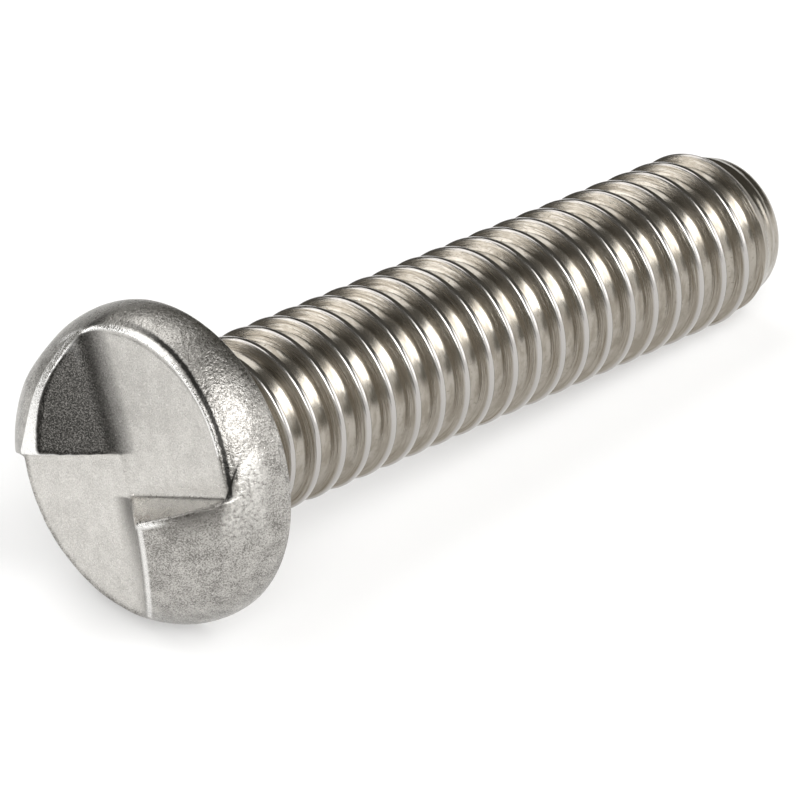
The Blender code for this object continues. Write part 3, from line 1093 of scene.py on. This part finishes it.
def make_thread_steel():
    """Rolled stainless steel: bright, with streaks that follow the thread, rougher where it is dark."""
    material, tree, surface = new_steel("thread_steel", THREAD_LIGHT, THREAD_ROUGHNESS)
    place = screw_place(tree)
    across, along, height = add_node(tree, "ShaderNodeSeparateXYZ", {"Vector": place}).outputs
    radius = from_axis(tree, across, along)

    flat_scale, out_scale, up_scale = STREAK_SCALE
    layers = calculate(tree, "ADD", calculate(tree, "MULTIPLY", radius, out_scale),
                       calculate(tree, "MULTIPLY", height, up_scale))
    streak_place = stretched(tree, across, along, flat_scale, layers)
    streaks = add_node(tree, "ShaderNodeTexNoise", {"Vector": streak_place},
                       Scale=1.0, Detail=3.0, Roughness=0.6).outputs["Fac"]
    flat_scale, up_scale = STAIN_SCALE
    rise = calculate(tree, "MULTIPLY", height, up_scale)
    stain_place = stretched(tree, across, along, flat_scale, rise)
    stains = add_node(tree, "ShaderNodeTexNoise", {"Vector": stain_place},
                      Scale=STAIN_NOISE_SCALE, Detail=5.0, Roughness=0.65).outputs["Fac"]
    specks = add_node(tree, "ShaderNodeTexNoise", {"Vector": place},
                      Scale=SPECK_SCALE, Detail=2.0, Roughness=0.5).outputs["Fac"]

    off_crest = falling(tree, radius, CREST_EDGE)
    on_flank = product(tree, rising(tree, radius, FLANK_EDGE), off_crest)
    streaked = product(tree, on_flank, mapped(tree, streaks, STREAK_RANGE, STREAK_SHARES))
    stained = product(tree, falling(tree, stains, STAIN_RANGE, STAIN_SHARE), off_crest)
    dark = greatest(tree, streaked, stained, rising(tree, specks, SPECK_RANGE, SPECK_SHARE))
    flank = colour_between(tree, dark, THREAD_LIGHT, THREAD_DARK)
    tree.links.new(colour_between(tree, off_crest, THREAD_CREST, flank), surface.inputs["Base Color"])

    gain = calculate(tree, "MULTIPLY", dark, STAINED_THREAD_GAIN)
    rough = calculate(tree, "ADD", gain, CLEAN_THREAD_ROUGHNESS)
    tree.links.new(rough, surface.inputs["Roughness"])
    normal = bumped(tree, product(tree, streaks, on_flank), STREAK_BUMP)
    tree.links.new(bumped(tree, stains, STAIN_BUMP, normal), surface.inputs["Normal"])
    return material


def finish_steel(screw):
    """Give the head and the rolled shank their own finish, while the screw still stands upright."""
    screw.data.materials.append(make_head_steel(make_grain_group()))
    screw.data.materials.append(make_thread_steel())
    for face in screw.data.polygons:
        face.material_index = 0 if face.center.z > -WELD else 1


def make_camera():
    """The camera at the photograph's viewing angle."""
    data = bpy.data.cameras.new("camera")
    data.lens = CAMERA_LENS
    data.sensor_width = SENSOR_WIDTH
    data.clip_start = CLIP_START
    data.clip_end = CLIP_END
    camera = bpy.data.objects.new("camera", data)
    bpy.context.scene.collection.objects.link(camera)
    back = -CAMERA_FORWARD.normalized()
    up = back.cross(CAMERA_RIGHT).normalized()
    right = up.cross(back)
    camera.rotation_mode = "QUATERNION"
    camera.rotation_quaternion = Matrix((right, up, back)).transposed().to_quaternion()
    camera.location = CAMERA_PLACE
    bpy.context.scene.camera = camera


def make_softbox(name, bearing, rise, width, height, strength):
    """A rectangular lamp that shines on the screw, at a bearing from +X towards +Y and a height angle."""
    data = bpy.data.lights.new(name, "AREA")
    data.shape = "RECTANGLE"
    data.size = width
    data.size_y = height
    data.energy = strength * math.pi * width * height
    lamp = bpy.data.objects.new(name, data)
    bpy.context.scene.collection.objects.link(lamp)
    bearing, rise = math.radians(bearing), math.radians(rise)
    way = Vector((math.cos(bearing) * math.cos(rise), math.sin(bearing) * math.cos(rise), math.sin(rise)))
    lamp.location = way * LAMP_DISTANCE
    lamp.rotation_mode = "QUATERNION"
    lamp.rotation_quaternion = way.to_track_quat("Z", "Y")
    lamp.visible_camera = False


def make_table():
    """White table. It is seen partly as plain white, also in the steel, so it keeps only a faint shadow."""
    bpy.ops.mesh.primitive_plane_add(size=TABLE_SIZE, location=(0.0, 0.0, 0.0))
    table = bpy.context.object
    table.name = "table"
    material = bpy.data.materials.new("white_table")
    material.use_nodes = True
    tree = material.node_tree
    tree.nodes.clear()
    path = tree.nodes.new("ShaderNodeLightPath").outputs
    seen = greatest(tree, path["Is Camera Ray"], path["Is Glossy Ray"], path["Is Transmission Ray"])
    lit = add_node(tree, "ShaderNodeBsdfDiffuse", Color=TABLE_COLOUR)
    white = add_node(tree, "ShaderNodeEmission", Color=(1.0, 1.0, 1.0, 1.0), Strength=1.0)
    mixed = add_node(tree, "ShaderNodeMixShader", {
        0: calculate(tree, "MULTIPLY", seen, TABLE_WHITE), 1: lit.outputs[0], 2: white.outputs[0]})
    add_node(tree, "ShaderNodeOutputMaterial", {"Surface": mixed.outputs[0]})
    table.data.materials.append(material)


def make_dark_card():
    """A low dark card in front of the screw, which only the steel sees."""
    place = (CARD_DISTANCE * math.cos(CARD_BEARING), CARD_DISTANCE * math.sin(CARD_BEARING), CARD_HEIGHT / 2)
    bpy.ops.mesh.primitive_plane_add(size=1.0, location=place,
                                     rotation=(math.pi / 2, 0.0, CARD_BEARING + math.pi / 2))
    card = bpy.context.object
    card.name = "dark_card"
    card.scale = (CARD_WIDTH, CARD_HEIGHT, 1.0)
    card.visible_camera = False
    card.visible_diffuse = False
    card.visible_shadow = False
    material = bpy.data.materials.new("dark_card")
    material.use_nodes = True
    surface = material.node_tree.nodes["Principled BSDF"]
    surface.inputs["Base Color"].default_value = CARD_COLOUR
    surface.inputs["Roughness"].default_value = 1.0
    card.data.materials.append(material)


def make_studio():
    """White table, soft boxes and a dim room."""
    start_fresh()
    make_table()
    world = bpy.data.worlds.new("room")
    bpy.context.scene.world = world
    world.use_nodes = True
    world.node_tree.nodes["Background"].inputs["Color"].default_value = ROOM_COLOUR

    make_softbox("main_box", bearing=250.0, rise=41.0, width=0.56, height=0.30, strength=3.7)
    make_softbox("right_box", bearing=285.0, rise=57.0, width=0.26, height=0.22, strength=3.7)
    make_softbox("left_box", bearing=217.0, rise=31.0, width=0.22, height=0.22, strength=4.2)
    make_softbox("low_box", bearing=278.0, rise=13.0, width=0.86, height=0.21, strength=0.9)
    make_softbox("side_box", bearing=325.0, rise=14.0, width=0.21, height=0.25, strength=2.6)
    make_softbox("back_box", bearing=142.0, rise=24.0, width=0.27, height=0.16, strength=3.2)
    make_softbox("high_box", bearing=98.0, rise=58.0, width=0.55, height=0.36, strength=1.9)
    make_dark_card()


screw = make_screw()
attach(screw, "root")
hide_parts("security_screw")
make_camera()
make_studio()
bpy.context.scene.view_settings.view_transform = "Standard"
